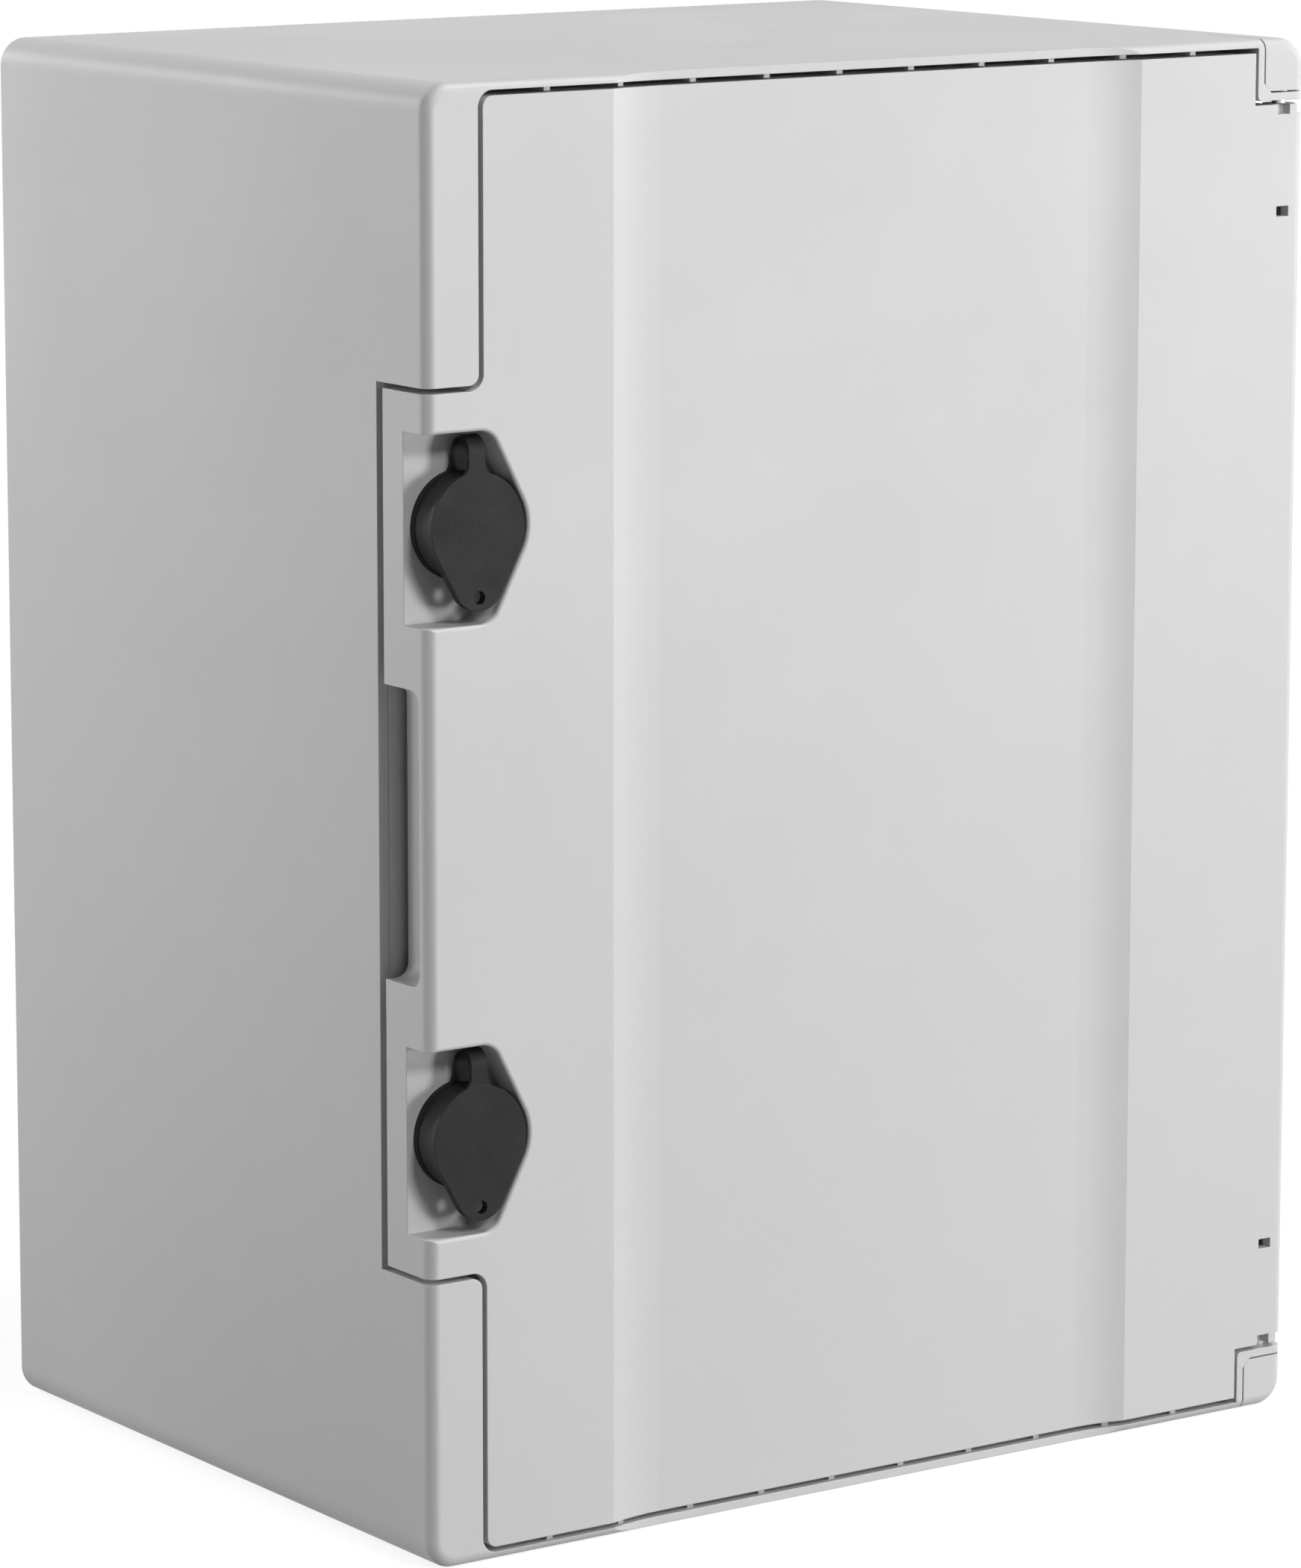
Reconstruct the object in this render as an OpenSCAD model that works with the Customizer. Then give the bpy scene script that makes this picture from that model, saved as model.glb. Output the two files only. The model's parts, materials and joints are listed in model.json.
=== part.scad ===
// Plastic wall-mounting electrical enclosure. A deep moulded box with a sealing frame carries a door
// that wraps round its left and right edges. The door hangs on two pins at the right, and two quarter-turn locks
// under hinged dust covers hold it at the left. A steel mounting plate stands inside.
// X runs across the front, +Y runs to the back and Z runs up. Millimetres.

/* [Box] */
// Width of the box
body_w = 300; // [290:5:420]
// Height of the box
body_h = 400; // [380:5:600]
// Depth of the box with its door closed
body_d = 221.5; // [150:0.5:300]
// Thickness of the box walls
wall = 3; // [2.4:0.2:4]
// Radius of the four long edges that run from front to back
corner_r = 8; // [7:0.5:12]
// Radius of the edges round the front
front_r = 3.2; // [2:0.1:4]
// Radius of the edges round the back
back_r = 2; // [1:0.1:3]

/* [Front frame] */
// Width of the front strips above and below the lock wing
strip_w = 16.85; // [15:0.05:20]
// Thickness of the lips above and below the door
lip_t = 2.4; // [1.8:0.1:3.5]
// Depth from the front to the box's cut edge behind the door
shelf_back = 23.45; // [22:0.05:28]
// Thickness of the shelf behind the cut edge
shelf_t = 4; // [3:0.2:5]
// Thickness of the sealing rim that stands on the shelf
rim_t = 2.5; // [2:0.1:3]
// Distance of the rim's middle from the right side
rim_in_right = 28.5; // [27:0.5:34]
// Distance of the rim's middle from the left side
rim_in_left = 39; // [38:0.5:46]
// Distance of the rim's middle from the top and bottom
rim_in_end = 24; // [23:0.5:34]
// Number of small ribs in the gap above the door, and in the one below it
gap_ribs = 10; // [4:1:14]
// Distance between the first rib and the last
gap_rib_span = 220; // [180:5:240]
// Width of one gap rib
gap_rib_w = 2; // [1.4:0.1:3]

/* [Door] */
// Gap between the door and the frame
door_gap = 1.5; // [1:0.1:2.2]
// Thickness of the door panel
door_t = 3; // [2.4:0.1:3.4]
// Height of the door's wing that wraps round the left side
wing_h = 238; // [226:1:250]
// Depth of the wings behind the front
wing_back = 20.5; // [19.5:0.05:21]
// Width of the sunk middle panel
recess_w = 180; // [120:5:200]
// Depth of the sunk middle panel
recess_d = 2.4; // [1:0.1:3]
// Width of the curved blend at each side of the sunk panel
blend_w = 17; // [10:0.5:24]
// Depth of the door's stiffening flange
flange_back = 13.5; // [11:0.5:14]
// Width of the foam gasket
gasket_w = 8; // [6:0.5:9]
// Thickness of the foam gasket
gasket_t = 4; // [3:0.2:5]

/* [Hinge] */
// Width of the corner blocks that hold the hinge pins
block_w = 17.45; // [16:0.05:18]
// Gap between a block and the door's edge beside it
block_gap = 0.95; // [0.9:0.05:1.6]
// Height of the corner blocks
block_h = 17.4; // [16:0.1:22]
// Gap between a block and the end of the door
hinge_gap = 1.25; // [0.8:0.05:2]
// Distance of the hinge axis from the right side
hinge_in = 5.4; // [5.2:0.1:6]
// Distance of the hinge axis behind the front
hinge_back = 5.2; // [5:0.1:5.8]
// Radius of the hinge pins
pin_r = 2; // [1.6:0.1:2.2]
// Length of the pins inside the door
pin_grip = 27; // [20:1:28]

/* [Locks] */
// Height of the locks above and below the middle
lock_up = 82.6; // [76:0.2:86]
// Distance of the lock axes from the left side
lock_in = 16.9; // [16.9:0.1:18]
// Depth of the lock pockets
pocket_d = 10.8; // [10.8:0.1:12]
// Height of the lock pockets
pocket_h = 51.5; // [51:0.5:58]
// Radius of the lock covers
cover_r = 14.8; // [14:0.1:15]
// Thickness of the lock covers
cover_t = 1.6; // [1.4:0.1:2]
// Radius of the hole for a wire seal
seal_hole_r = 1.8; // [1:0.1:2]
// Length of the locking cams
cam_l = 22; // [18:1:23]

/* [Finger pull] */
// Height of the finger pull
pull_h = 80; // [50:1:90]
// Depth of the finger pull into the side
pull_in = 7.15; // [6:0.05:8]
// Distance of the finger pull from the front
pull_back = 3.95; // [3.5:0.05:5]

/* [Inside] */
// Width of the mounting plate
plate_w = 216; // [180:2:220]
// Distance of the plate's ends from the top and bottom of the box
plate_end_in = 30; // [28:1:60]
// Thickness of the mounting plate
plate_t = 2; // [1.5:0.1:3]
// Height of the posts that carry the mounting plate
post_l = 15; // [10:1:40]
// Distance between the wall holes across
wall_hole_w = 170; // [120:5:180]
// Distance between the wall holes up
wall_hole_h = 270; // [200:5:290]
// Radius of the wall holes
wall_hole_r = 3.6; // [2.5:0.1:4.5]

/* [Hidden] */
$fn = 64;

pale = [0.84, 0.84, 0.84];
black = [0.16, 0.16, 0.16];
zinc = [0.72, 0.74, 0.77];
brass = [0.78, 0.64, 0.32];
foam = [0.28, 0.28, 0.3];

// Overrun of every cut
over = 1;
// Tangent curves cross by this much, so that they join cleanly
nip = 0.02;
// Running clearance round pins and barrels
run = 0.05;
// Clearance between pieces that come close but move apart
near = 0.3;

front_y = -body_d / 2;
back_y = body_d / 2;
left_x = -body_w / 2;
right_x = body_w / 2;
mid_z = body_h / 2;
shelf_y = front_y + shelf_back;
shelf_rear_y = shelf_y + shelf_t;
wing_y = front_y + wing_back;

// Rounded corners of the frame round the door, and of the door in it
frame_inner_r = 4.5;
frame_outer_r = 3;
block_r = 1.5;

// Clearance of the sealing frame inside the box walls
frame_fit = 0.1;
// Frame strips are hollow behind their front
strip_wall = 2.5;
// Wall between a corner block and the door
block_wall = 2.2;
// Floor of a corner block, which holds the pin
block_floor = 2.2;
// Groove that shows round a hinge cap
cap_groove = 0.45;
// Chamfer of the block's inner corner, which the cap seats on
cap_chamfer = 2.75;
cap_wall = 2;
// The cap ends this far in front of the shelf's rear face
cap_seat = 1.6;

// Gap ribs stand back from the lips and stay clear of the door
gap_rib_back = 2;
gap_rib_clear = 0.3;

// Blend of the sunk panel: an arc tangent to the flat
blend_r = (blend_w * blend_w + recess_d * recess_d) / (2 * recess_d);
blend_fn = 360;

// Door
door_outer_r = 3;
door_inner_r = 4.5;
skin_t = 2.9;
// Each end of the door's right skin stops short of the panel
skin_short = 2.75;
// The end flanges stop short of the corner blocks
flange_short = 4.5;
// Sliver between the boss and the short flange beside it
boss_sliver = 0.8;
gasket_rib = 2.5;
// The gasket's face lies a little behind the flange's edge
gasket_face_extra = 0.25;
pad_y = front_y + flange_back + gasket_face_extra;
rim_y = pad_y + near;
door_rib_t = 2.2;
door_rib_d = 6;
door_rib_shares = [0.27, 0.5, 0.73];

// Hinge
hinge_x = right_x - hinge_in;
hinge_y = front_y + hinge_back;
boss_r = 4.6;
boss_extra = 2;
pin_head_r = 2.7;
pin_head_t = 1.6;
slot_w = 4.4;
// Empty end of the door's bore behind the window, below the pin
pin_end_room = 7;
// The slot and window lie off the axis, toward the door's middle
slot_off = 2.4;
slot_h = 2.8;
slot_d = 2.75;
window_h = 2.9;
// Distance of the windows from the ends of the door
window_down = 30.35;

// Locks
lock_x = left_x + lock_in;
floor_y = front_y + pocket_d;
pocket_floor_t = 2.5;
pocket_wall = 2.5;
// Gap round the cover in its pocket
cover_gap = 0.65;
pocket_r = cover_r + cover_gap;
pocket_corner_r = 6;
pocket_lip_r = 1;
pocket_slant = 27.5;
pocket_corner_z = pocket_h / 2 - pocket_corner_r;
pocket_corner_x = (pocket_r - pocket_corner_r - pocket_corner_z * sin(pocket_slant)) / cos(pocket_slant);
cover_sink = 1;
cover_y = front_y + cover_sink;
// A closed cover lies this far in front of the collar
collar_gap = 0.1;
collar_y = cover_y + cover_t + collar_gap;
collar_r = 14.5;
collar_bore_r = 9.5;
// Depth of the key socket inside the collar
socket_d = 5.2;
web_y = collar_y + socket_d;
lock_body_r = 11;
lock_body_l = 9.5;
lock_body_y = floor_y + lock_body_l;
barrel_r = 6;
shank_r = 3.5;
barrel_slot_w = 1.8;
barrel_slot_l = 10;
barrel_slot_d = 2.2;
nut_t = 4.5;
nut_flat = 12;
cam_w = 6.5;
cam_t = 3;
cam_y = shelf_rear_y + near;
cam_screw_r = 1.9;
cam_head_r = 3.4;
cam_head_t = 2;
cam_screw_l = 9;
// Slot in the shelf that the cam passes
cam_slot_w = 9;
cam_slot_l = cam_l + 3;
// Closed box behind the slot that keeps the inside sealed
catch_wall = 2;
catch_h = 28;
catch_clear = 1;
catch_d = cam_t + cam_head_t + catch_clear;
catch_in = 12.5;

// Lock covers: a round plate with a lobe below, on a strap that bends over at the top
lobe_r = 7.8;
lobe_down = 14.3;
// The cover's front slopes forward to the lobe
cover_slope = 1.2;
seal_hole_down = 18.5;
strap_w = 5.15;
strap_t = 1;
strap_r = 4.5;
strap_up = 20;
strap_fillet_r = 3.6;
lap_t = 0.45;
// The front strap is thin just below the bend, to clear the inner lap as it swings
lap_rise = 2.2;
plug_r = 8.8;
plug_bore_r = 8;
plug_l = 1.2;
// The bend's inner lap runs on past the top, and the rear strap is thin where the outer lap comes down
lap_run_deg = 30;
lap_join_deg = 1;
lap_drop = 1.6;
strap_y = cover_y + strap_r;
// Front of the cover's base and of the rear strap
base_y = strap_y + strap_r - strap_t;

// Inside
plate_h = body_h - 2 * plate_end_in;
post_r = 6;
post_in_x = 10;
post_in_z = 10;
post_bore_r = 2.1;
post_bore_l = 12;
plate_y = back_y - wall - post_l - plate_t;
plate_hole_r = 3;
plate_corner_r = 4;
screw_r = 2.05;
screw_head_r = 4.6;
screw_head_t = 2.8;
screw_l = 10;
wall_pad_r = 9;
wall_pad_t = 3;
stud_r = 3;
stud_l = 20;
stud_in_x = 30;
stud_up = 22;
washer_r = 6.2;
washer_t = 1.2;
nut_across = 10;
earth_nut_t = 5;

// Plane shapes

module rounded(x0, x1, y0, y1, r) {
    translate([x0 + r, y0]) square([x1 - x0 - 2 * r, y1 - y0]);
    translate([x0, y0 + r]) square([x1 - x0, y1 - y0 - 2 * r]);
    for (x = [x0 + r, x1 - r], y = [y0 + r, y1 - r]) translate([x, y]) circle(r);
}

// Material in a corner at the origin, inside an arc that is tangent to both axes
module corner_fill(r) {
    difference() {
        translate([-over, -over]) square(r + over);
        translate([r, r]) circle(r);
    }
}

// Door leaf, or with no gap the opening that it fills
module leaf_shape(gap, side_gap, shoulder_gap, outer_r, inner_r, shoulder_r, reach) {
    x0 = left_x + strip_w + gap;
    x1 = right_x - block_w - side_gap;
    half = mid_z - lip_t - gap;
    wing = wing_h / 2 + door_gap - gap;
    shoulder = mid_z - block_h - shoulder_gap;
    translate([0, mid_z]) {
        difference() {
            translate([x0, -half]) square([x1 - x0, 2 * half]);
            translate([x0, -half]) corner_fill(outer_r);
            translate([x0, half]) rotate(270) corner_fill(outer_r);
        }
        translate([left_x - reach, -wing]) square([x0 - left_x + reach + over, 2 * wing]);
        translate([x1 - over, -shoulder]) square([right_x - x1 + reach + over, 2 * shoulder]);
        translate([x0, wing]) rotate(90) corner_fill(inner_r);
        translate([x0, -wing]) rotate(180) corner_fill(inner_r);
        if (shoulder_r > 0) {
            translate([x1, shoulder]) corner_fill(shoulder_r);
            translate([x1, -shoulder]) rotate(270) corner_fill(shoulder_r);
        }
    }
}

// Outline of a lock pocket, open to the left, grown by a margin
module pocket_shape(grow, reach) {
    r_big = pocket_r + grow;
    r_small = pocket_corner_r + grow;
    half = pocket_corner_z + r_small - nip;
    slant_x = cos(pocket_slant);
    slant_z = sin(pocket_slant);
    near_big = r_big - nip;
    near_small = r_small - nip;
    circle(r_big);
    for (s = [-1, 1]) translate([pocket_corner_x, s * pocket_corner_z]) circle(r_small);
    polygon([[-reach, half], [pocket_corner_x, half],
        [pocket_corner_x + near_small * slant_x, pocket_corner_z + near_small * slant_z],
        [near_big * slant_x, near_big * slant_z], [near_big * slant_x, -near_big * slant_z],
        [pocket_corner_x + near_small * slant_x, -pocket_corner_z - near_small * slant_z],
        [pocket_corner_x, -half], [-reach, -half]]);
}

// Outline of a lock cover: disc, lobe and the neck of the strap above
module cover_shape(grow) {
    r = cover_r + grow;
    lobe = lobe_r + grow;
    lean = (cover_r - lobe_r) / lobe_down;
    c = sqrt(1 - lean * lean);
    circle(r);
    translate([0, -lobe_down]) circle(lobe);
    polygon([[r * c, -r * lean], [lobe * c, -lobe_down - lobe * lean],
        [-lobe * c, -lobe_down - lobe * lean], [-r * c, -r * lean]]);
}

// Neck between the disc and the strap, with a hollow round each side
module neck_shape() {
    half = strap_w / 2;
    mid_x = half + strap_fillet_r - nip;
    reach = cover_r + strap_fillet_r - nip;
    mid_z = sqrt(reach * reach - mid_x * mid_x);
    touch = cover_r / 2 / reach;
    difference() {
        polygon([[-mid_x * touch, mid_z * touch], [-mid_x, mid_z], [mid_x, mid_z],
            [mid_x * touch, mid_z * touch]]);
        for (s = [-1, 1]) translate([s * mid_x, mid_z]) circle(strap_fillet_r);
    }
    translate([-half, 0]) square([strap_w, strap_up]);
}

// Solids from plane shapes

module along_y(y0, y1) {
    translate([0, y1, 0]) rotate([90, 0, 0]) linear_extrude(y1 - y0) children();
}

module along_x(x0, x1) {
    translate([x0, 0, 0]) rotate([90, 0, 90]) linear_extrude(x1 - x0) children();
}

module box(x0, x1, y0, y1, z0, z1) {
    translate([x0, y0, z0]) cube([x1 - x0, y1 - y0, z1 - z0]);
}

module rod_y(x, z, r, y0, y1) {
    translate([x, y1, z]) rotate([90, 0, 0]) cylinder(r = r, h = y1 - y0);
}

module rod_z(x, y, r, z0, z1) {
    translate([x, y, z0]) cylinder(r = r, h = z1 - z0);
}

// Mirrors a piece of the upper half on to the lower half
module lower_copy() {
    translate([0, 0, body_h]) mirror([0, 0, 1]) children();
}

module both_ends() {
    children();
    lower_copy() children();
}

// Half of a bar's section: its end face lies at y0, and the edges beside both ends can be rounded
module half_section(half, y0, y1, r0, r1) {
    translate([0, y0 + r0]) square([half, y1 - y0 - r0 - r1]);
    translate([0, y0]) square([half - r0, y1 - y0 - r1]);
    translate([half - r0, y0 + r0]) circle(r0);
    if (r1 > 0) {
        translate([0, y1 - 2 * r1]) square([half - r1, 2 * r1]);
        translate([half - r1, y1 - r1]) circle(r1);
    }
}

module bar_section(half, y0, y1, r0, r1) {
    half_section(half, y0, y1, r0, r1);
    mirror([1, 0]) half_section(half, y0, y1, r0, r1);
}

// Body with four rounded long edges, and a rounded edge all round each of its ends
module rolled_box(y0, y1, r0, r1) {
    translate([0, 0, corner_r]) linear_extrude(body_h - 2 * corner_r) bar_section(body_w / 2, y0, y1, r0, r1);
    translate([left_x + corner_r, 0, mid_z]) rotate([90, 0, 90]) linear_extrude(body_w - 2 * corner_r)
        rotate(90) bar_section(body_h / 2, -y1, -y0, r1, r0);
    for (sx = [0, 1], sz = [0, 1]) mirror([sx, 0, 0]) translate([0, 0, mid_z]) mirror([0, 0, sz])
        translate([right_x - corner_r, 0, corner_r - mid_z]) rotate([-90, 0, 0])
            rotate_extrude(angle = 90) half_section(corner_r, y0, y1, r0, r1);
}

// Outside of the closed enclosure from its front to a plane
module outer_front(y_end) {
    rolled_box(front_y, y_end, front_r, 0);
}

// Outside of the whole enclosure
module outer_solid() {
    rolled_box(front_y, back_y, front_r, back_r);
}

// Everything in front of the sunk panel, shifted back by a distance
module recess_cut(shift) {
    flat = recess_w / 2 - blend_w;
    face_y = front_y + shift + recess_d;
    translate([0, 0, -over]) linear_extrude(body_h + 2 * over) {
        translate([-flat, front_y - over]) square([2 * flat, face_y - front_y + over]);
        for (s = [-1, 1]) intersection() {
            translate([s * flat, face_y - blend_r]) circle(blend_r, $fn = blend_fn);
            translate([s * (flat + blend_w / 2) - blend_w / 2, front_y - over])
                square([blend_w, face_y - front_y + over]);
        }
    }
}

// Flared cut that rounds a pocket's lip: along its arcs, and along its straight stretches
module lip_arc(r) {
    rotate([-90, 0, 0]) rotate_extrude() difference() {
        translate([0, -over]) square([r + pocket_lip_r, pocket_lip_r + over]);
        translate([r + pocket_lip_r, pocket_lip_r]) circle(pocket_lip_r);
    }
}

module lip_line(normal_deg, distance, start, length) {
    rotate([0, -normal_deg, 0]) translate([distance, 0, start]) linear_extrude(length) difference() {
        translate([-2 * pocket_lip_r, -over]) square([3 * pocket_lip_r, pocket_lip_r + over]);
        translate([pocket_lip_r, pocket_lip_r]) circle(pocket_lip_r);
    }
}

module pocket_lip() {
    half = pocket_h / 2;
    slant_l = pocket_corner_z * cos(pocket_slant) - pocket_corner_x * sin(pocket_slant);
    lip_arc(pocket_r);
    for (s = [0, 1]) mirror([0, 0, s]) {
        translate([pocket_corner_x, 0, pocket_corner_z]) lip_arc(pocket_corner_r);
        lip_line(pocket_slant, pocket_r - nip, 0, slant_l);
        lip_line(90, half - nip, -pocket_corner_x, lock_in + over + pocket_corner_x);
    }
}

// Places a lock's piece at the upper lock, or at the lower one
module at_lock(upper) {
    translate([lock_x, 0, mid_z + (upper ? lock_up : -lock_up)]) children();
}

// Base shell

module frame_opening() {
    leaf_shape(0, 0, 0, frame_inner_r, frame_outer_r, block_r, over);
}

module strip_cavity() {
    along_y(front_y + strip_wall, shelf_rear_y + over)
        rounded(left_x + wall, left_x + strip_w - strip_wall, mid_z + wing_h / 2 + door_gap + strip_wall,
            body_h - wall, corner_r - wall);
}

// Room of the hinge cap in the corner block, grown by a margin at its grooves
module cap_shape(groove) {
    x0 = right_x - block_w + block_wall + groove;
    z0 = body_h - block_h + block_floor + groove;
    cut = cap_chamfer - 2 * groove;
    difference() {
        translate([x0, z0]) square([right_x - x0 + over, body_h - z0 + over]);
        polygon([[x0 - over, z0 - over], [x0 + cut + over, z0 - over], [x0 - over, z0 + cut + over]]);
    }
}

cap_rear_y = shelf_rear_y - cap_seat;

// Outline of the box's inside, less a clearance
module inner_outline(fit) {
    rounded(left_x + wall + fit, right_x - wall - fit, wall + fit, body_h - wall - fit, corner_r - wall - fit);
}

module rim_outline(offset_out) {
    rounded(left_x + rim_in_left - offset_out, right_x - rim_in_right + offset_out,
        rim_in_end - offset_out, body_h - rim_in_end + offset_out, corner_r + offset_out);
}

module gap_rib_row() {
    pitch = gap_rib_span / (gap_ribs - 1);
    difference() {
        for (i = [0 : gap_ribs - 1]) {
            x = -gap_rib_span / 2 + i * pitch;
            box(x - gap_rib_w / 2, x + gap_rib_w / 2, front_y + gap_rib_back, shelf_y - nip,
                body_h - lip_t - door_gap + gap_rib_clear, body_h - lip_t / 2);
        }
        recess_cut(gap_rib_back);
    }
}

module catch_box() {
    x0 = left_x + wall + frame_fit;
    x1 = lock_x + catch_in + catch_wall;
    half = catch_h / 2 + catch_wall;
    box(x0, x1, shelf_rear_y - over, cam_y + catch_d + catch_wall, mid_z + lock_up - half, mid_z + lock_up + half);
}

module catch_room() {
    half = catch_h / 2;
    box(left_x + wall + frame_fit + catch_wall, lock_x + catch_in, shelf_rear_y, cam_y + catch_d,
        mid_z + lock_up - half, mid_z + lock_up + half);
    box(lock_x - cam_slot_w / 2, lock_x + cam_slot_w / 2, shelf_y - over, shelf_rear_y + over,
        mid_z + lock_up - cam_slot_l / 2, mid_z + lock_up + cam_slot_l / 2);
}

function post_x() = plate_w / 2 - post_in_x;
function post_z() = plate_h / 2 - post_in_z;

module base_shell() {
    color(pale) difference() {
        union() {
            difference() {
                outer_solid();
                along_y(front_y - over, shelf_y) frame_opening();
                along_y(shelf_y - nip, back_y - wall) inner_outline(0);
                both_ends() strip_cavity();
                both_ends() along_y(front_y - over, cap_rear_y) cap_shape(0);
            }
            both_ends() gap_rib_row();
            for (x = [-post_x(), post_x()], z = [mid_z - post_z(), mid_z + post_z()])
                rod_y(x, z, post_r, back_y - wall - post_l, back_y - wall / 2);
            for (x = [-wall_hole_w / 2, wall_hole_w / 2], z = [mid_z - wall_hole_h / 2, mid_z + wall_hole_h / 2])
                rod_y(x, z, wall_pad_r, back_y - wall - wall_pad_t, back_y - wall / 2);
        }
        recess_cut(0);
        both_ends() rod_z(hinge_x, hinge_y, pin_r + run, body_h - block_h - over, body_h - block_h + block_floor + over);
        for (x = [-post_x(), post_x()], z = [mid_z - post_z(), mid_z + post_z()])
            rod_y(x, z, post_bore_r, back_y - wall - post_l - over, back_y - wall - post_l + post_bore_l);
        for (x = [-wall_hole_w / 2, wall_hole_w / 2], z = [mid_z - wall_hole_h / 2, mid_z + wall_hole_h / 2])
            rod_y(x, z, wall_hole_r, back_y - wall - wall_pad_t - over, back_y + over);
    }
}

// Frame behind the door's edge: a shelf with the sealing rim, and a closed box behind each cam slot
module sealing_frame() {
    color(pale) difference() {
        union() {
            along_y(shelf_y, shelf_rear_y) inner_outline(frame_fit);
            along_y(rim_y, shelf_rear_y) rim_outline(rim_t / 2);
            both_ends() catch_box();
        }
        along_y(rim_y - over, shelf_rear_y + over) rim_outline(-rim_t / 2);
        both_ends() catch_room();
        both_ends() along_y(shelf_y - over, cap_rear_y) cap_shape(0);
    }
}

// Hinge caps and pins

module hinge_cap() {
    color(pale) difference() {
        intersection() {
            outer_front(cap_rear_y - cap_groove);
            along_y(front_y - over, cap_rear_y) cap_shape(cap_groove);
        }
        along_y(front_y + cap_wall, cap_rear_y + over)
            rounded(hinge_x - 3 * corner_r, right_x - cap_wall, body_h - 4 * corner_r, body_h - cap_wall,
                corner_r - cap_wall);
    }
}

module hinge_cap_top() {
    hinge_cap();
}

module hinge_cap_bottom() {
    lower_copy() hinge_cap();
}

module hinge_pin() {
    seat = body_h - block_h + block_floor;
    color(zinc) {
        rod_z(hinge_x, hinge_y, pin_r, body_h - block_h - hinge_gap - pin_grip, seat);
        rod_z(hinge_x, hinge_y, pin_head_r, seat, seat + pin_head_t);
    }
}

module hinge_pin_top() {
    hinge_pin();
}

module hinge_pin_bottom() {
    lower_copy() hinge_pin();
}

// Door

module door_shape() {
    end = mid_z - block_h - hinge_gap;
    difference() {
        leaf_shape(door_gap, block_gap, hinge_gap, door_outer_r, door_inner_r, 0, over);
        for (z = [mid_z + end - skin_short, mid_z - end - over])
            translate([right_x - skin_t, z]) square([skin_t + 2 * over, skin_short + over]);
    }
}

// Door panel of even thickness, sunk in the middle
module door_panel() {
    along_y(front_y, front_y + door_t) door_shape();
    intersection() {
        along_y(front_y + door_t / 2, front_y + door_t + recess_d) door_shape();
        recess_cut(door_t);
    }
}

module door_flanges() {
    x0 = left_x + strip_w + door_gap;
    x1 = right_x - block_w - block_gap - flange_short;
    z1 = body_h - lip_t - door_gap;
    wing_z = mid_z + wing_h / 2;
    y0 = front_y + door_t / 2;
    y1 = front_y + flange_back;
    shoulder_z = body_h - block_h - hinge_gap;
    box(x0 + door_outer_r, x1, y0, y1, z1 - door_t, z1);
    box(x1, hinge_x - boss_r - boss_sliver, y0, y1, shoulder_z - door_t, shoulder_z);
    box(x0, x0 + door_t, y0, y1, wing_z - door_t, z1 - door_outer_r);
    rod_y(x0 + door_outer_r, z1 - door_outer_r, door_outer_r, y0, y1);
    box(left_x + skin_t / 2, x0 + door_t, y0, wing_y, wing_z - door_t, wing_z);
}

module door_skins() {
    end = mid_z - block_h - hinge_gap - skin_short;
    box(left_x - over, left_x + skin_t, front_y, wing_y, mid_z - wing_h / 2, mid_z + wing_h / 2);
    box(right_x - skin_t, right_x + over, front_y, wing_y, mid_z - end, mid_z + end);
}

module hinge_boss() {
    z1 = body_h - block_h - hinge_gap;
    z0 = z1 - pin_grip - pin_end_room - boss_extra;
    rod_z(hinge_x, hinge_y, boss_r, z0, z1);
    box(hinge_x, right_x - skin_t, front_y + door_t / 2, hinge_y + boss_r / 2, z0, z1);
}

module hinge_boss_cuts() {
    z1 = body_h - block_h - hinge_gap;
    x0 = hinge_x - slot_off - slot_w / 2;
    rod_z(hinge_x, hinge_y, pin_r + run, z1 - pin_grip - pin_end_room - near, z1 + over);
    box(x0, x0 + slot_w, front_y - over, front_y + slot_d, z1 - slot_h, z1 + over);
    box(x0, x0 + slot_w, front_y - over, hinge_y, z1 - window_down - window_h / 2, z1 - window_down + window_h / 2);
}

module lock_pocket_body() {
    intersection() {
        translate([lock_x, 0, mid_z + lock_up])
            along_y(front_y + door_t / 2, floor_y + pocket_floor_t) pocket_shape(pocket_wall, lock_in);
        box(left_x + skin_t / 2, 0, front_y, wing_y, mid_z, body_h);
    }
}

module lock_pocket_cuts() {
    translate([lock_x, 0, mid_z + lock_up]) {
        along_y(front_y - over, floor_y) pocket_shape(0, lock_in + over);
        translate([0, front_y, 0]) pocket_lip();
        rod_y(0, 0, lock_body_r + run, floor_y - over, floor_y + pocket_floor_t + over);
    }
}

module pull_shape_side(grow) {
    half = pull_h / 2 + grow;
    rounded(front_y + pull_back - grow, wing_y + 3 * corner_r, mid_z - half, mid_z + half, corner_r / 2 + grow);
}

module pull_shape_front(grow) {
    half = pull_h / 2 + grow;
    rounded(left_x - 3 * corner_r, left_x + pull_in + grow, mid_z - half, mid_z + half, corner_r / 2 + grow);
}

module pull_body() {
    intersection() {
        box(left_x + skin_t / 2, right_x, front_y + door_t / 2, wing_y, 0, body_h);
        along_x(left_x, left_x + pull_in + pocket_wall) pull_shape_side(pocket_wall);
        along_y(front_y, wing_y + over) pull_shape_front(pocket_wall);
    }
}

module pull_cut() {
    intersection() {
        along_x(left_x - over, left_x + pull_in + over) pull_shape_side(0);
        along_y(front_y, wing_y + 2 * over) pull_shape_front(0);
    }
}

module gasket_pad() {
    half = gasket_w / 2 + gasket_rib;
    difference() {
        along_y(front_y + door_t / 2, pad_y) rim_outline(half);
        along_y(front_y, pad_y + over) rim_outline(-half);
    }
}

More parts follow.
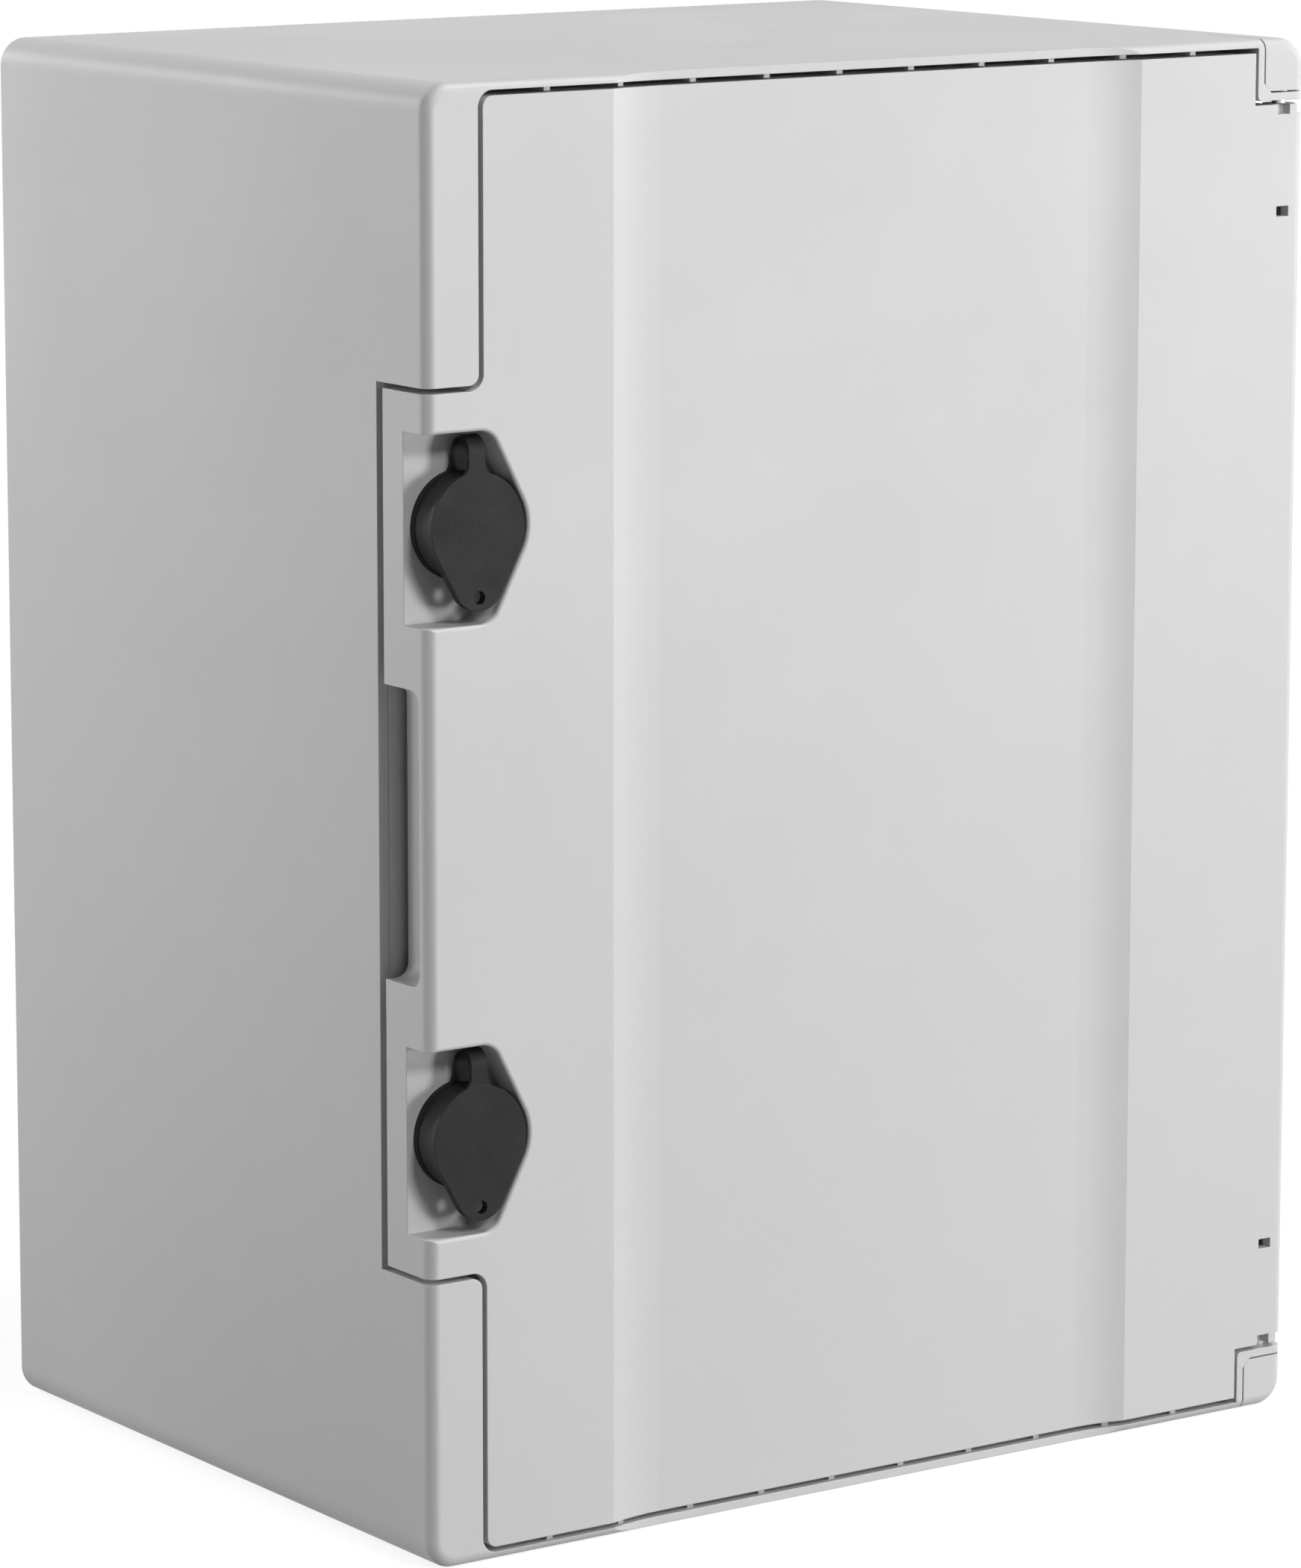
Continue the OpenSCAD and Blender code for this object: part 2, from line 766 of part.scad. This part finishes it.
module gasket_ring(extra_front, extra_back) {
    difference() {
        along_y(pad_y - gasket_t - extra_front, pad_y + extra_back) rim_outline(gasket_w / 2);
        along_y(front_y, pad_y + 2 * over) rim_outline(-gasket_w / 2);
    }
}

module door_ribs() {
    half = gasket_w / 2 + gasket_rib;
    x0 = left_x + rim_in_left + half - over;
    x1 = right_x - rim_in_right - half + over;
    y0 = front_y + door_t / 2;
    for (share = door_rib_shares) {
        z = body_h * share;
        box(x0, x1, y0, front_y + recess_d + door_t + door_rib_d, z - door_rib_t / 2, z + door_rib_t / 2);
    }
}

module door_shell() {
    color(pale) difference() {
        union() {
            intersection() {
                outer_front(wing_y + over);
                union() {
                    door_panel();
                    door_skins();
                }
            }
            both_ends() door_flanges();
            both_ends() hinge_boss();
            both_ends() lock_pocket_body();
            pull_body();
            gasket_pad();
            door_ribs();
        }
        recess_cut(0);
        both_ends() lock_pocket_cuts();
        both_ends() hinge_boss_cuts();
        pull_cut();
        gasket_ring(0, over);
    }
}

module door_gasket() {
    color(foam) gasket_ring(0, 0);
}

// Inside fittings

module mounting_plate() {
    color(zinc) difference() {
        along_y(plate_y, plate_y + plate_t)
            rounded(-plate_w / 2, plate_w / 2, mid_z - plate_h / 2, mid_z + plate_h / 2, plate_corner_r);
        for (x = [-post_x(), post_x()], z = [mid_z - post_z(), mid_z + post_z()])
            rod_y(x, z, plate_hole_r, plate_y - over, plate_y + plate_t + over);
        rod_y(earth_x, earth_z, stud_r + run, plate_y - over, plate_y + plate_t + over);
    }
}

module plate_screws() {
    color(zinc) for (x = [-post_x(), post_x()], z = [mid_z - post_z(), mid_z + post_z()]) {
        rod_y(x, z, screw_r, plate_y, plate_y + screw_l);
        rod_y(x, z, screw_head_r, plate_y - screw_head_t, plate_y);
    }
}

earth_x = plate_w / 2 - stud_in_x;
earth_z = mid_z - plate_h / 2 + stud_up;

// Stud with a head behind the plate
module earth_stud() {
    color(brass) {
        rod_y(earth_x, earth_z, stud_r, plate_y + plate_t - stud_l, plate_y + plate_t);
        rod_y(earth_x, earth_z, washer_r, plate_y + plate_t, plate_y + plate_t + washer_t);
    }
}

module earth_washer() {
    color(zinc) difference() {
        rod_y(earth_x, earth_z, washer_r, plate_y - washer_t, plate_y);
        rod_y(earth_x, earth_z, stud_r + run, plate_y - washer_t - over, plate_y + over);
    }
}

module earth_nut() {
    y0 = plate_y - washer_t - earth_nut_t;
    color(brass) difference() {
        translate([earth_x, 0, earth_z]) along_y(y0, y0 + earth_nut_t)
            circle(nut_across / 2 / cos(30), $fn = 6);
        rod_y(earth_x, earth_z, stud_r + run, y0 - over, y0 + earth_nut_t + over);
    }
}

// Locks: each stands in a pocket of the door

module lock_housing(upper) {
    color(black) at_lock(upper) difference() {
        union() {
            rod_y(0, 0, collar_r, collar_y, base_y);
            rod_y(0, 0, lock_body_r, base_y - over, lock_body_y);
        }
        rod_y(0, 0, collar_bore_r, collar_y - over, web_y);
        rod_y(0, 0, barrel_r + run, web_y - over, lock_body_y + over);
    }
}

module lock_housing_upper() {
    lock_housing(true);
}

module lock_housing_lower() {
    lock_housing(false);
}

module lock_nut(upper) {
    y0 = floor_y + pocket_floor_t;
    color(black) at_lock(upper) difference() {
        along_y(y0, y0 + nut_t) rotate(30) circle(nut_flat / cos(30), $fn = 6);
        rod_y(0, 0, lock_body_r + run, y0 - over, y0 + nut_t + over);
    }
}

module lock_nut_upper() {
    lock_nut(true);
}

module lock_nut_lower() {
    lock_nut(false);
}

module lock_barrel(upper) {
    color(zinc) at_lock(upper) difference() {
        union() {
            rod_y(0, 0, barrel_r, web_y, lock_body_y);
            rod_y(0, 0, shank_r, lock_body_y - over, cam_y);
        }
        box(-barrel_slot_w / 2, barrel_slot_w / 2, web_y - over, web_y + barrel_slot_d,
            -barrel_slot_l / 2, barrel_slot_l / 2);
        rod_y(0, 0, cam_screw_r + run, cam_y + cam_t - cam_screw_l - near, cam_y + over);
    }
}

module lock_barrel_upper() {
    lock_barrel(true);
}

module lock_barrel_lower() {
    lock_barrel(false);
}

// Cam, upright as drawn: the door is closed and unlocked
module lock_cam(upper) {
    half = cam_l / 2 - cam_w / 2;
    color(zinc) at_lock(upper) difference() {
        along_y(cam_y, cam_y + cam_t) {
            translate([-cam_w / 2, -half]) square([cam_w, 2 * half]);
            for (z = [-half, half]) translate([0, z]) circle(cam_w / 2);
        }
        rod_y(0, 0, cam_screw_r + run, cam_y - over, cam_y + cam_t + over);
    }
}

module lock_cam_upper() {
    lock_cam(true);
}

module lock_cam_lower() {
    lock_cam(false);
}

module cam_screw(upper) {
    y1 = cam_y + cam_t;
    color(zinc) at_lock(upper) {
        rod_y(0, 0, cam_screw_r, y1 - cam_screw_l, y1);
        rod_y(0, 0, cam_head_r, y1, y1 + cam_head_t);
    }
}

module cam_screw_upper() {
    cam_screw(true);
}

module cam_screw_lower() {
    cam_screw(false);
}

// Bend of the strap: a stretch of a ring about the flap's axis, counted from the front over the top
module strap_bend(r_in, r_out, from_deg, to_deg) {
    translate([strap_w / 2, strap_y, strap_up]) rotate([90, 0, -90]) rotate(from_deg)
        rotate_extrude(angle = to_deg - from_deg) translate([r_in, nip]) square([r_out - r_in, strap_w - 2 * nip]);
}

// Dust cover with the front of its strap
module lock_cover(upper) {
    color(black) at_lock(upper) {
        difference() {
            union() {
                difference() {
                    along_y(front_y, cover_y + cover_t) cover_shape(0);
                    translate([0, cover_y, strap_up]) rotate([-cover_slope, 0, 0])
                        box(-2 * cover_r, 2 * cover_r, -2 * cover_r, 0, -4 * cover_r, 4 * cover_r);
                }
                along_y(cover_y, cover_y + strap_t) neck_shape();
                rod_y(0, 0, plug_r, cover_y + cover_t / 2, cover_y + cover_t + plug_l);
            }
            rod_y(0, 0, plug_bore_r, cover_y + cover_t, cover_y + cover_t + plug_l + over);
            rod_y(0, -seal_hole_down, seal_hole_r, front_y - over, cover_y + cover_t + over);
            box(-strap_w, strap_w, cover_y + lap_t, cover_y + cover_t + over, strap_up - lap_rise, strap_up + over);
        }
        strap_bend(strap_r - lap_t, strap_r, 0, 90);
    }
}

module lock_cover_upper() {
    lock_cover(true);
}

module lock_cover_lower() {
    lock_cover(false);
}

// Base ring of the cover under the collar, with the rear of its strap
module cover_base(upper) {
    lap_r = strap_r - strap_t;
    color(black) at_lock(upper) {
        difference() {
            union() {
                along_y(base_y, floor_y) circle(cover_r);
                along_y(base_y, base_y + strap_t) neck_shape();
            }
            rod_y(0, 0, lock_body_r + run, base_y - over, floor_y + over);
            box(-strap_w, strap_w, base_y + lap_t, floor_y + over, strap_up - lap_drop, strap_up + over);
        }
        strap_bend(lap_r, lap_r + lap_t, 90 - lap_run_deg, 180 + lap_join_deg);
    }
}

module cover_base_upper() {
    cover_base(true);
}

module cover_base_lower() {
    cover_base(false);
}

base_shell();
sealing_frame();
hinge_cap_top();
hinge_cap_bottom();
hinge_pin_top();
hinge_pin_bottom();
door_shell();
door_gasket();
mounting_plate();
plate_screws();
earth_stud();
earth_washer();
earth_nut();
lock_housing_upper();
lock_housing_lower();
lock_nut_upper();
lock_nut_lower();
lock_barrel_upper();
lock_barrel_lower();
lock_cam_upper();
lock_cam_lower();
cam_screw_upper();
cam_screw_lower();
lock_cover_upper();
lock_cover_lower();
cover_base_upper();
cover_base_lower();
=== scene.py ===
import json
import math

import bpy
from mathutils import Matrix, Vector

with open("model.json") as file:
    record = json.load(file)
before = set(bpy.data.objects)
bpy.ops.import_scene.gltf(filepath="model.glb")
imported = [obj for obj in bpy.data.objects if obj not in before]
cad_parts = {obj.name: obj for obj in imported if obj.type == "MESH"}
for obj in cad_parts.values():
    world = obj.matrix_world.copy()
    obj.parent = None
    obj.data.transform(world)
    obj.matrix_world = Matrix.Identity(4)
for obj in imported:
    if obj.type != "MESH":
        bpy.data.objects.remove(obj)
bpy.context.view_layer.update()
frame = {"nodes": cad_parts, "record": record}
nodes = frame["nodes"]

# %% [markdown]
# Lens
# A camera can be set by eye, but then edges that should meet the photograph's drift apart. Here the
# lens was solved from the straight edges of the enclosure, with the box taken as 300 by 221.5 by
# 400 mm. The focal length and the centre are in pixels of the photograph. They turn into a long lens
# and a small shift, because the object doesn't lie in the middle of the lens.
# %% Lens
PHOTO_W = 1743
PHOTO_H = 2100
FOCAL_PX = 8809.3532
CENTRE_X = 654.2816
CENTRE_Y = 996.1564
SENSOR_MM = 36.0

camera_data = bpy.data.cameras.new("camera")
camera_data.sensor_fit = "AUTO"
camera_data.sensor_width = SENSOR_MM
camera_data.lens = FOCAL_PX / PHOTO_H * SENSOR_MM
camera_data.shift_x = (PHOTO_W / 2 - CENTRE_X) / PHOTO_H
camera_data.shift_y = (CENTRE_Y - PHOTO_H / 2) / PHOTO_H
camera_data.clip_start = 0.05
camera_data.clip_end = 50.0
camera_data.dof.use_dof = False
print("lens in mm:", round(camera_data.lens, 2))
print("shift:", round(camera_data.shift_x, 4), round(camera_data.shift_y, 4))

# %% [markdown]
# Where the camera stands
# The same solution gives the direction that the camera looks in and its distance. Three unit vectors,
# to its right, up and forward, fill the camera's matrix. Euler angles would do too, but their order is
# easy to get wrong, and the three vectors can each be checked by drawing them.
# %% Where the camera stands
YAW = math.radians(33.9320)
PITCH = math.radians(9.9754)
ROLL = math.radians(-0.2039)
TARGET = Vector((-0.0560423, 0.0, 0.2013601))
DISTANCE = 1.8776367

forward = Vector((math.sin(YAW) * math.cos(PITCH), math.cos(YAW) * math.cos(PITCH), -math.sin(PITCH)))
level = Vector((math.cos(YAW), -math.sin(YAW), 0.0))
upward = level.cross(forward)
right = level * math.cos(ROLL) + upward * math.sin(ROLL)
up = upward * math.cos(ROLL) - level * math.sin(ROLL)
turn = Matrix((right, up, -forward)).transposed().to_4x4()

camera = bpy.data.objects.new("camera", camera_data)
bpy.context.scene.collection.objects.link(camera)
camera.matrix_world = Matrix.Translation(TARGET - forward * DISTANCE) @ turn
bpy.context.scene.camera = camera
print("camera at:", [round(c, 3) for c in camera.matrix_world.translation])

# %% [markdown]
# Start of the light grey plastic
# The box, the door, the sealing frame and the hinge caps are moulded in one light grey plastic. A
# finish could be a painted picture, but that needs unwrapping and stretches over curved parts. Here
# each finish is a small node tree on one Principled shader, placed in metres on the piece itself, and
# is kept under the name of the material slot that takes it.
# %% Start of the light grey plastic
FINISHES = {}


def new_finish(slot_name, title):
    material = bpy.data.materials.new(title)
    material.use_nodes = True
    tree = material.node_tree
    tree.nodes.clear()
    output = tree.nodes.new("ShaderNodeOutputMaterial")
    shader = tree.nodes.new("ShaderNodeBsdfPrincipled")
    tree.links.new(shader.outputs["BSDF"], output.inputs["Surface"])
    place = tree.nodes.new("ShaderNodeTexCoord")
    FINISHES[slot_name] = material
    return tree, shader, place


grey_tree, grey_shader, grey_place = new_finish("housing_plastic", "light grey plastic")
print("first finish:", FINISHES["housing_plastic"].name)

# %% [markdown]
# Noise and its range
# No moulded panel has exactly one tone. A noise texture makes a value that wanders over the piece,
# and a map range node narrows it to the small change that is wanted. The scale counts waves to the
# metre, so 7 gives slow drifts across a panel and 2600 gives specks finer than half a millimetre.
# %% Noise and its range


def noise(tree, place, per_metre, detail, stretch=None):
    node = tree.nodes.new("ShaderNodeTexNoise")
    node.inputs["Scale"].default_value = per_metre
    node.inputs["Detail"].default_value = detail
    source = place.outputs["Object"]
    if stretch:
        mapping = tree.nodes.new("ShaderNodeMapping")
        mapping.inputs["Scale"].default_value = stretch
        tree.links.new(source, mapping.inputs["Vector"])
        source = mapping.outputs["Vector"]
    tree.links.new(source, node.inputs["Vector"])
    return node.outputs["Fac"]


def spread(tree, value, low, high, from_low=0.3, from_high=0.7):
    node = tree.nodes.new("ShaderNodeMapRange")
    node.inputs["From Min"].default_value = from_low
    node.inputs["From Max"].default_value = from_high
    node.inputs["To Min"].default_value = low
    node.inputs["To Max"].default_value = high
    tree.links.new(value, node.inputs["Value"])
    return node.outputs["Result"]


broad = spread(grey_tree, noise(grey_tree, grey_place, per_metre=7.0, detail=3.0), 0.988, 1.012)
cloud = spread(grey_tree, noise(grey_tree, grey_place, per_metre=60.0, detail=4.0), 0.994, 1.006)
speck = spread(grey_tree, noise(grey_tree, grey_place, per_metre=2600.0, detail=2.0), 0.992, 1.008)
print("nodes in the light grey plastic so far:", len(grey_tree.nodes))

# %% [markdown]
# Tone of the light grey plastic
# The three noises are multiplied together and scale one grey, so that the tone changes by about one
# percent and its hue never does. Mixing two greys would work as well, but then both have to be
# changed whenever the plastic gets lighter or darker.
# %% Tone of the light grey plastic
LIGHT_GREY = (0.60, 0.60, 0.60)


def times(tree, first, second):
    node = tree.nodes.new("ShaderNodeMath")
    node.operation = "MULTIPLY"
    tree.links.new(first, node.inputs[0])
    tree.links.new(second, node.inputs[1])
    return node.outputs["Value"]


def colour(tree, shader, base, factor):
    node = tree.nodes.new("ShaderNodeVectorMath")
    node.operation = "SCALE"
    node.inputs[0].default_value = base
    tree.links.new(factor, node.inputs["Scale"])
    tree.links.new(node.outputs["Vector"], shader.inputs["Base Color"])


grey_factor = times(grey_tree, times(grey_tree, broad, cloud), speck)
colour(grey_tree, grey_shader, LIGHT_GREY, grey_factor)
print("light grey:", LIGHT_GREY)

# %% [markdown]
# Gloss and grain of the light grey plastic
# The plastic is satin. Faint smudges change how it shines, as on a part that has been handled, and a
# very fine grain breaks the gloss up. The grain is only bump, because it is a few hundredths of a
# millimetre high. A bevel node under it softens every sharp edge, as a mould does.
# %% Gloss and grain of the light grey plastic
BEVEL_SAMPLES = 8


def gloss(tree, shader, place, per_metre, detail, low, high):
    value = spread(tree, noise(tree, place, per_metre, detail), low, high)
    tree.links.new(value, shader.inputs["Roughness"])


def relief(tree, shader, height, depth, strength, edge):
    bump = tree.nodes.new("ShaderNodeBump")
    bump.inputs["Distance"].default_value = depth
    bump.inputs["Strength"].default_value = strength
    tree.links.new(height, bump.inputs["Height"])
    bevel = tree.nodes.new("ShaderNodeBevel")
    bevel.samples = BEVEL_SAMPLES
    bevel.inputs["Radius"].default_value = edge
    tree.links.new(bevel.outputs["Normal"], bump.inputs["Normal"])
    tree.links.new(bump.outputs["Normal"], shader.inputs["Normal"])


gloss(grey_tree, grey_shader, grey_place, per_metre=16.0, detail=6.0, low=0.44, high=0.54)
grey_shader.inputs["Specular IOR Level"].default_value = 0.45
grey_grain = noise(grey_tree, grey_place, per_metre=2200.0, detail=3.0)
relief(grey_tree, grey_shader, grey_grain, depth=0.00003, strength=0.35, edge=0.00035)
print("light grey plastic done with", len(grey_tree.nodes), "nodes")

# %% [markdown]
# Near black plastic
# The lock covers, their rings and the lock housings are near black, with a slightly coarser grain that
# shows as soft specks, and a little dust lightens them in patches. The same helpers make it, with a
# wider range, because one percent can't be seen on so dark a colour.
# %% Near black plastic
NEAR_BLACK = (0.0130, 0.0130, 0.0133)

tree, shader, place = new_finish("lock_plastic", "black plastic")
dust = spread(tree, noise(tree, place, per_metre=120.0, detail=5.0), 0.85, 1.25)
speck = spread(tree, noise(tree, place, per_metre=1900.0, detail=3.0), 0.8, 1.25)
colour(tree, shader, NEAR_BLACK, times(tree, dust, speck))
gloss(tree, shader, place, per_metre=90.0, detail=4.0, low=0.48, high=0.6)
shader.inputs["Specular IOR Level"].default_value = 0.15
grain = noise(tree, place, per_metre=1700.0, detail=3.0)
relief(tree, shader, grain, depth=0.00006, strength=0.6, edge=0.0003)
print("black plastic done with", len(tree.nodes), "nodes")

# %% [markdown]
# Zinc plated steel
# The mounting plate, the hinge pins, the screws, the washer, the lock barrels and their cams are
# plated steel. A smooth metal would look like chrome, so broad cells vary the plating as on
# galvanised sheet, and noise squeezed thirty times in one direction gives the grain of rolling.
# %% Zinc plated steel
ZINC = (0.60, 0.61, 0.63)
ROLLED = (1.0, 1.0, 30.0)
BRUSHED = (1.0, 1.0, 12.0)

tree, shader, place = new_finish("plated_steel", "plated steel")
shader.inputs["Metallic"].default_value = 1.0
cells = spread(tree, noise(tree, place, per_metre=55.0, detail=1.0), 0.86, 1.1)
rolled = spread(tree, noise(tree, place, per_metre=40.0, detail=4.0, stretch=ROLLED), 0.94, 1.05)
colour(tree, shader, ZINC, times(tree, cells, rolled))
gloss(tree, shader, place, per_metre=70.0, detail=3.0, low=0.26, high=0.44)
grain = noise(tree, place, per_metre=900.0, detail=3.0, stretch=BRUSHED)
relief(tree, shader, grain, depth=0.00004, strength=0.4, edge=0.0002)
print("plated steel done with", len(tree.nodes), "nodes")

# %% [markdown]
# Brass
# The earth stud and its nut are turned from brass rod and slightly tarnished. A plain yellow metal
# would look new and toy-like, so fine noise darkens it in small patches and makes its shine uneven.
# %% Brass
BRASS = (0.70, 0.50, 0.20)

tree, shader, place = new_finish("earth_brass", "brass")
shader.inputs["Metallic"].default_value = 1.0
colour(tree, shader, BRASS, spread(tree, noise(tree, place, per_metre=260.0, detail=5.0), 0.7, 1.1))
gloss(tree, shader, place, per_metre=300.0, detail=4.0, low=0.24, high=0.45)
grain = noise(tree, place, per_metre=1500.0, detail=2.0)
relief(tree, shader, grain, depth=0.00004, strength=0.4, edge=0.0002)
print("brass done with", len(tree.nodes), "nodes")

# %% [markdown]
# Foam
# The seal is foamed in place in the door: dark, dull and full of small cells. Round Voronoi cells suit
# it better than cloudy noise, because each cell has an edge, as a bubble has. The same cells raise the
# surface and darken the colour towards each cell's deep middle: painted shade in the pits, on the
# foam's own dark tone.
# %% Foam
DARK_FOAM = (0.055, 0.055, 0.06)
BUBBLES_PER_METRE = 1500.0

tree, shader, place = new_finish("gasket_foam", "gasket foam")
bubbles = tree.nodes.new("ShaderNodeTexVoronoi")
bubbles.inputs["Scale"].default_value = BUBBLES_PER_METRE
tree.links.new(place.outputs["Object"], bubbles.inputs["Vector"])
# painted shade: the colour is darker where the bubbles are deep
shade = spread(tree, bubbles.outputs["Distance"], 0.7, 1.2, from_low=0.0, from_high=0.8)
patch = spread(tree, noise(tree, place, per_metre=90.0, detail=3.0), 0.85, 1.15)
colour(tree, shader, DARK_FOAM, times(tree, shade, patch))
gloss(tree, shader, place, per_metre=200.0, detail=2.0, low=0.8, high=0.95)
relief(tree, shader, bubbles.outputs["Distance"], depth=0.0002, strength=0.7, edge=0.0003)
print("foam done with", len(tree.nodes), "nodes")

# %% [markdown]
# Give every node of the model its finish
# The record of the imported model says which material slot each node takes. The finishes are kept under
# the same names, so one loop dresses the whole enclosure. Naming the nodes one by one here would
# leave a new node undressed.
# %% Give every node its finish
subparts = frame["record"]["subparts"]
for entry in subparts:
    slots = nodes[entry["node"]].data.materials
    slots.clear()
    slots.append(FINISHES[entry["material_slot"]])
print("finishes given:", len(subparts), "nodes in", len(FINISHES), "finishes")

# %% [markdown]
# What a ray sees
# The photograph has a plain white ground, but a white floor that lights the enclosure from below
# would wash out the shade on its sides. The Light Path node tells the two apart: a ray from the
# camera, from a gloss or through glass sees the white, and all other light sees something else.
# %% What a ray sees


def brighter_of(tree, first, second):
    node = tree.nodes.new("ShaderNodeMath")
    node.operation = "MAXIMUM"
    tree.links.new(first, node.inputs[0])
    tree.links.new(second, node.inputs[1])
    return node.outputs["Value"]


def seen_directly(tree):
    path = tree.nodes.new("ShaderNodeLightPath")
    either = brighter_of(tree, path.outputs["Is Camera Ray"], path.outputs["Is Glossy Ray"])
    return brighter_of(tree, either, path.outputs["Is Transmission Ray"])


ground = bpy.data.materials.new("white ground")
ground.use_nodes = True
tree = ground.node_tree
tree.nodes.clear()
ground_output = tree.nodes.new("ShaderNodeOutputMaterial")
ground_mix = tree.nodes.new("ShaderNodeMixShader")
tree.links.new(seen_directly(tree), ground_mix.inputs["Fac"])
tree.links.new(ground_mix.outputs["Shader"], ground_output.inputs["Surface"])
print("ground material begun with", len(tree.nodes), "nodes")

# %% [markdown]
# White ground with a faint shadow
# A ground that only glows would be perfectly white, and the enclosure would float on it. So the white
# that is seen is a glow with a little shaded colour added, which the shadow takes away again. The
# lamps reach the far floor less, so its glow rises with the distance from the enclosure. All other
# light meets a plain pale floor, which lights the enclosure softly from below.
# %% White ground
WHITE = (1.0, 1.0, 1.0, 1.0)
PALE_FLOOR = (0.32, 0.32, 0.32, 1.0)
SHADED_PART = (0.3, 0.3, 0.3, 1.0)
GLOW_NEAR = 0.85
GLOW_FAR = 1.0
NEAR = 0.6
FAR = 2.0

pale = tree.nodes.new("ShaderNodeBsdfDiffuse")
pale.inputs["Color"].default_value = PALE_FLOOR
shaded = tree.nodes.new("ShaderNodeBsdfDiffuse")
shaded.inputs["Color"].default_value = SHADED_PART
glow = tree.nodes.new("ShaderNodeEmission")
glow.inputs["Color"].default_value = WHITE
place = tree.nodes.new("ShaderNodeTexCoord")
away = tree.nodes.new("ShaderNodeVectorMath")
away.operation = "LENGTH"
tree.links.new(place.outputs["Object"], away.inputs[0])
rise = spread(tree, away.outputs["Value"], GLOW_NEAR, GLOW_FAR, from_low=NEAR, from_high=FAR)
tree.links.new(rise, glow.inputs["Strength"])
both = tree.nodes.new("ShaderNodeAddShader")
tree.links.new(glow.outputs["Emission"], both.inputs[0])
tree.links.new(shaded.outputs["BSDF"], both.inputs[1])
tree.links.new(pale.outputs["BSDF"], ground_mix.inputs[1])
tree.links.new(both.outputs["Shader"], ground_mix.inputs[2])
print("glow of the ground from", GLOW_NEAR, "to", GLOW_FAR)

# %% [markdown]
# Floor
# One square, far wider than the picture, stands for the table. It lies a fifth of a millimetre below
# the enclosure, because two faces at one height flicker where they meet.
# %% Floor
FLOOR_HALF = 6.0
FLOOR_DROP = 0.0002
CORNER_SIGNS = ((-1, -1), (1, -1), (1, 1), (-1, 1))

floor_mesh = bpy.data.meshes.new("floor")
floor_corners = [Vector((x, y, 0.0)) * FLOOR_HALF for x, y in CORNER_SIGNS]
floor_mesh.from_pydata(floor_corners, [], [(0, 1, 2, 3)])
floor = bpy.data.objects.new("floor", floor_mesh)
floor.location.z = -FLOOR_DROP
bpy.context.scene.collection.objects.link(floor)
floor.data.materials.append(ground)
print("floor half width in metres:", FLOOR_HALF)

# %% [markdown]
# World
# Above the floor's edge the picture shows the world, which has to be as white as the floor. A white
# world would also light every side alike and flatten the shapes, so it is white only where it is
# seen directly, and gives no light of its own.
# %% World
SKY_LIGHT = 0.0
SKY_SEEN = 1.0

world = bpy.data.worlds.new("studio")
world.use_nodes = True
bpy.context.scene.world = world
sky = world.node_tree
sky.nodes.clear()
sky_output = sky.nodes.new("ShaderNodeOutputWorld")
sky_mix = sky.nodes.new("ShaderNodeMixShader")
sky.links.new(seen_directly(sky), sky_mix.inputs["Fac"])
for place_in_mix, strength in ((1, SKY_LIGHT), (2, SKY_SEEN)):
    background = sky.nodes.new("ShaderNodeBackground")
    background.inputs["Color"].default_value = WHITE
    background.inputs["Strength"].default_value = strength
    sky.links.new(background.outputs["Background"], sky_mix.inputs[place_in_mix])
sky.links.new(sky_mix.outputs["Shader"], sky_output.inputs["Surface"])
print("world seen directly at strength", SKY_SEEN)

# %% [markdown]
# Light
# Each lamp is a square softbox, given by the direction that it comes from and its distance from the
# enclosure's middle. Bearings count from straight in front of the door, to the right. Sun lamps are
# simpler, but they light the top and the bottom of a panel alike, and the photograph falls off
# downwards. Four softboxes stand at the left side, mostly behind it, and light it. The rest stand in
# front and on the right, so that the door is the brightest side and the rounded edge between the
# two stays in shade. The power is what reaches the middle, whatever the distance.
# %% Light
MIDDLE = Vector((0.0, 0.0, 0.2))

# Name, bearing, height above level, distance, power and width
SOFTBOXES = [
    ("left rear", -150.0, 5.0, 1.3, 0.205, 0.3),
    ("left rear high", -150.0, 25.0, 1.3, 0.804, 0.3),
    ("left", -120.0, 5.0, 1.3, 0.75, 0.3),
    ("left high", -90.0, 15.0, 1.3, 0.222, 0.3),
    ("front high", 0.0, 35.0, 3.2, 1.02, 0.58),
    ("front right", 28.0, 2.0, 2.2, 0.95, 0.4),
    ("right", 60.0, 5.0, 2.2, 1.065, 0.4),
    ("right high", 60.0, 62.0, 3.2, 1.58, 0.58),
]


def softbox(name, bearing, height, distance, power, width):
    data = bpy.data.lights.new(name, "AREA")
    data.shape = "SQUARE"
    data.size = width
    data.energy = power * math.pi * distance * distance
    lamp = bpy.data.objects.new(name, data)
    bpy.context.scene.collection.objects.link(lamp)
    across = math.radians(bearing)
    above = math.radians(height)
    flat = math.cos(above)
    source = Vector((math.sin(across) * flat, -math.cos(across) * flat, math.sin(above)))
    lamp.rotation_euler = source.to_track_quat("Z", "Y").to_euler()
    lamp.location = MIDDLE + source * distance
    lamp.visible_camera = False
    print("softbox", name, "watts:", round(data.energy, 2))


for row in SOFTBOXES:
    softbox(*row)

# %% [markdown]
# View
# The standard view shows a colour as it is written. A film-like view would look softer, but the greys
# couldn't be compared with the photograph's any more.
# %% View
bpy.context.scene.view_settings.view_transform = "Standard"
print("view transform:", bpy.context.scene.view_settings.view_transform)
